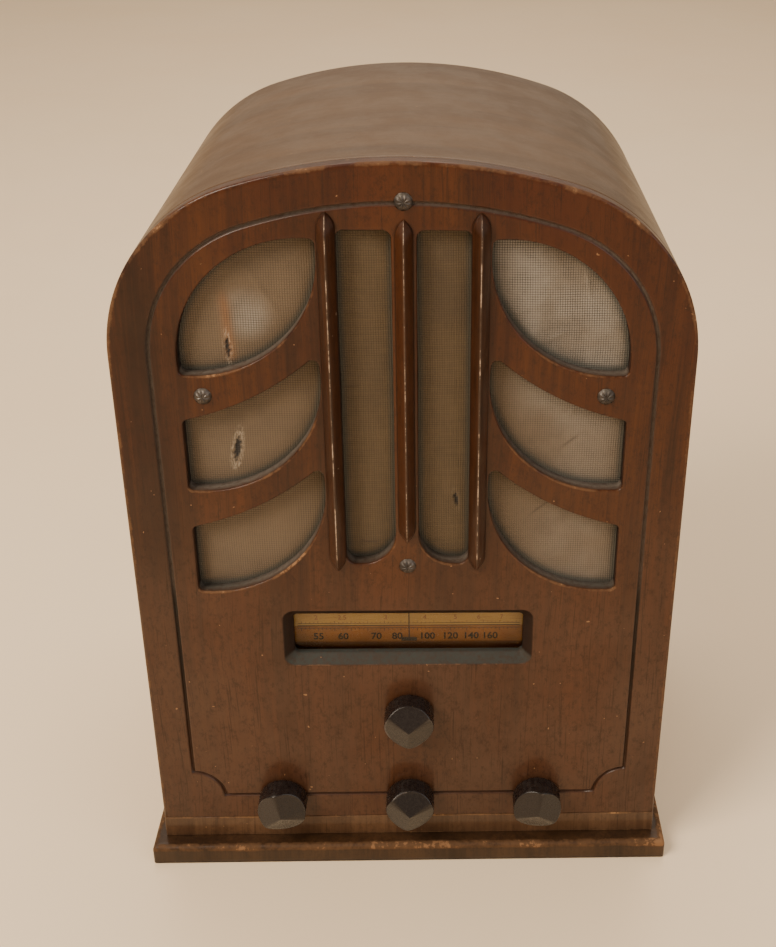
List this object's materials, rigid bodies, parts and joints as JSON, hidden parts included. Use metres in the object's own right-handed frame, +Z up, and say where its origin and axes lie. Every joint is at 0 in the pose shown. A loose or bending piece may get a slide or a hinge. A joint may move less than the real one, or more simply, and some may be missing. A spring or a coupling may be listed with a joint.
{
  "type": "cathedral radio",
  "caption": "Arched wooden table radio with leaf-shaped grille openings, applied ribs, a slide-rule dial, turning knobs, an open back and a full chassis.",
  "frame": {"origin": "under the middle of the whole object, on the surface it stands on", "axes": "+Z up, the front panel and the knobs face -Y, +X to the right of someone facing the front"},
  "size_m": [0.293, 0.2346, 0.408],
  "materials": {
    "front_veneer": "semi-gloss worn varnish",
    "wrap_veneer": "satin worn varnish",
    "base_wood": "worn varnish",
    "bare_wood": "unfinished",
    "speaker_board_wood": "unfinished",
    "cloth": "aged woven",
    "bolt_bronze": "tarnished",
    "plain_steel": "dull plated",
    "chassis_steel": "dull plated",
    "clear_glass": "clear",
    "tube_glass": "smoked by the getter",
    "lamp_glass": "clear",
    "scale_celluloid": "aged translucent",
    "cord_linen": "waxed",
    "iron_laminations": "lacquered",
    "black_paint": "satin",
    "bare_aluminium": "dull",
    "pointer_paint": "matt",
    "brass": "dull",
    "knob_bakelite": "worn gloss",
    "brown_bakelite": "gloss",
    "control_fibre": "fibre board",
    "black_rubber": "matt",
    "basket_paint": "crackle",
    "pot_paint": "satin",
    "cone_paper": "pressed felt paper",
    "coil_copper": "enamelled"
  },
  "bodies": {
    "cabinet": {"base_board": "base_wood", "front_rail": "front_veneer", "front_panel": "front_veneer", "cabinet_wrap": "wrap_veneer", "glue_blocks": "bare_wood", "panel_cleats": "bare_wood", "left_rib": "front_veneer", "centre_rib": "front_veneer", "right_rib": "front_veneer", "speaker_board": "speaker_board_wood", "grille_cloth": "cloth", "grille_bolts": "bolt_bronze", "grille_nuts": "plain_steel", "dial_glass": "clear_glass", "dial_scale": "scale_celluloid", "dial_plate": "plain_steel", "lamp_sockets": "brass", "dial_lamps": "lamp_glass", "dial_cord": "cord_linen", "chassis_pan": "chassis_steel", "chassis_bolts": "plain_steel", "transformer_core": "iron_laminations", "transformer_covers": "black_paint", "gang_frame": "chassis_steel", "gang_stator": "bare_aluminium", "tuning_bracket": "plain_steel", "volume_control": "control_fibre", "band_switch": "control_fibre", "tone_control": "control_fibre", "control_nuts": "brass", "tube_sockets": "brown_bakelite", "rectifier_tube": "tube_glass", "output_tube": "tube_glass", "tube_bases": "brown_bakelite", "converter_shield": "bare_aluminium", "amplifier_shield": "bare_aluminium", "detector_shield": "bare_aluminium", "front_coil_can": "bare_aluminium", "rear_coil_can": "bare_aluminium", "filter_capacitor": "bare_aluminium", "cord_grommet": "black_rubber", "aerial_terminals": "control_fibre", "speaker_basket": "basket_paint", "magnet_pot": "pot_paint", "cone_surround": "cone_paper", "output_transformer": "iron_laminations"},
    "tuning_gang": {"gang_rotor": "bare_aluminium", "dial_drum": "bare_aluminium"},
    "tuning_spindle": {"tuning_shaft": "brass", "tuning_knob": "knob_bakelite"},
    "pointer": {"dial_pointer": "pointer_paint"},
    "volume": {"volume_shaft": "brass", "volume_knob": "knob_bakelite"},
    "band": {"band_shaft": "brass", "band_knob": "knob_bakelite"},
    "tone": {"tone_shaft": "brass", "tone_knob": "knob_bakelite"},
    "cone": {"speaker_cone": "cone_paper", "voice_coil": "coil_copper"}
  },
  "joints": [
    {"name": "gang_turn", "type": "hinge", "parent": "cabinet", "child": "tuning_gang", "pos_m": [-0.046, -0.03875, 0.106], "axis": [0, 1, 0], "range_deg": [-87, 87]},
    {"name": "tuning_turn", "type": "hinge", "parent": "cabinet", "child": "tuning_spindle", "pos_m": [0, -0.07875, 0.1004], "axis": [0, 1, 0], "range_deg": [-875, 875]},
    {"name": "pointer_slide", "type": "slide", "parent": "cabinet", "child": "pointer", "axis": [1, 0, 0], "range_m": [-0.049, 0.049]},
    {"name": "volume_turn", "type": "hinge", "parent": "cabinet", "child": "volume", "pos_m": [-0.0715, -0.07875, 0.041], "axis": [0, 1, 0], "range_deg": [-150, 150]},
    {"name": "band_turn", "type": "hinge", "parent": "cabinet", "child": "band", "pos_m": [0, -0.07875, 0.041], "axis": [0, 1, 0], "range_deg": [-30, 30]},
    {"name": "tone_turn", "type": "hinge", "parent": "cabinet", "child": "tone", "pos_m": [0.0715, -0.07875, 0.041], "axis": [0, 1, 0], "range_deg": [-150, 150]},
    {"name": "cone_travel", "type": "slide", "parent": "cabinet", "child": "cone", "axis": [0, 1, 0], "range_m": [-0.0015, 0.0015], "stiffness_N_per_m": 1500}
  ],
  "couplings": [
    {"joint": "tuning_turn", "follows": "gang_turn", "ratio": 10},
    {"joint": "pointer_slide", "follows": "gang_turn", "m_per_rad": 0.032}
  ]
}
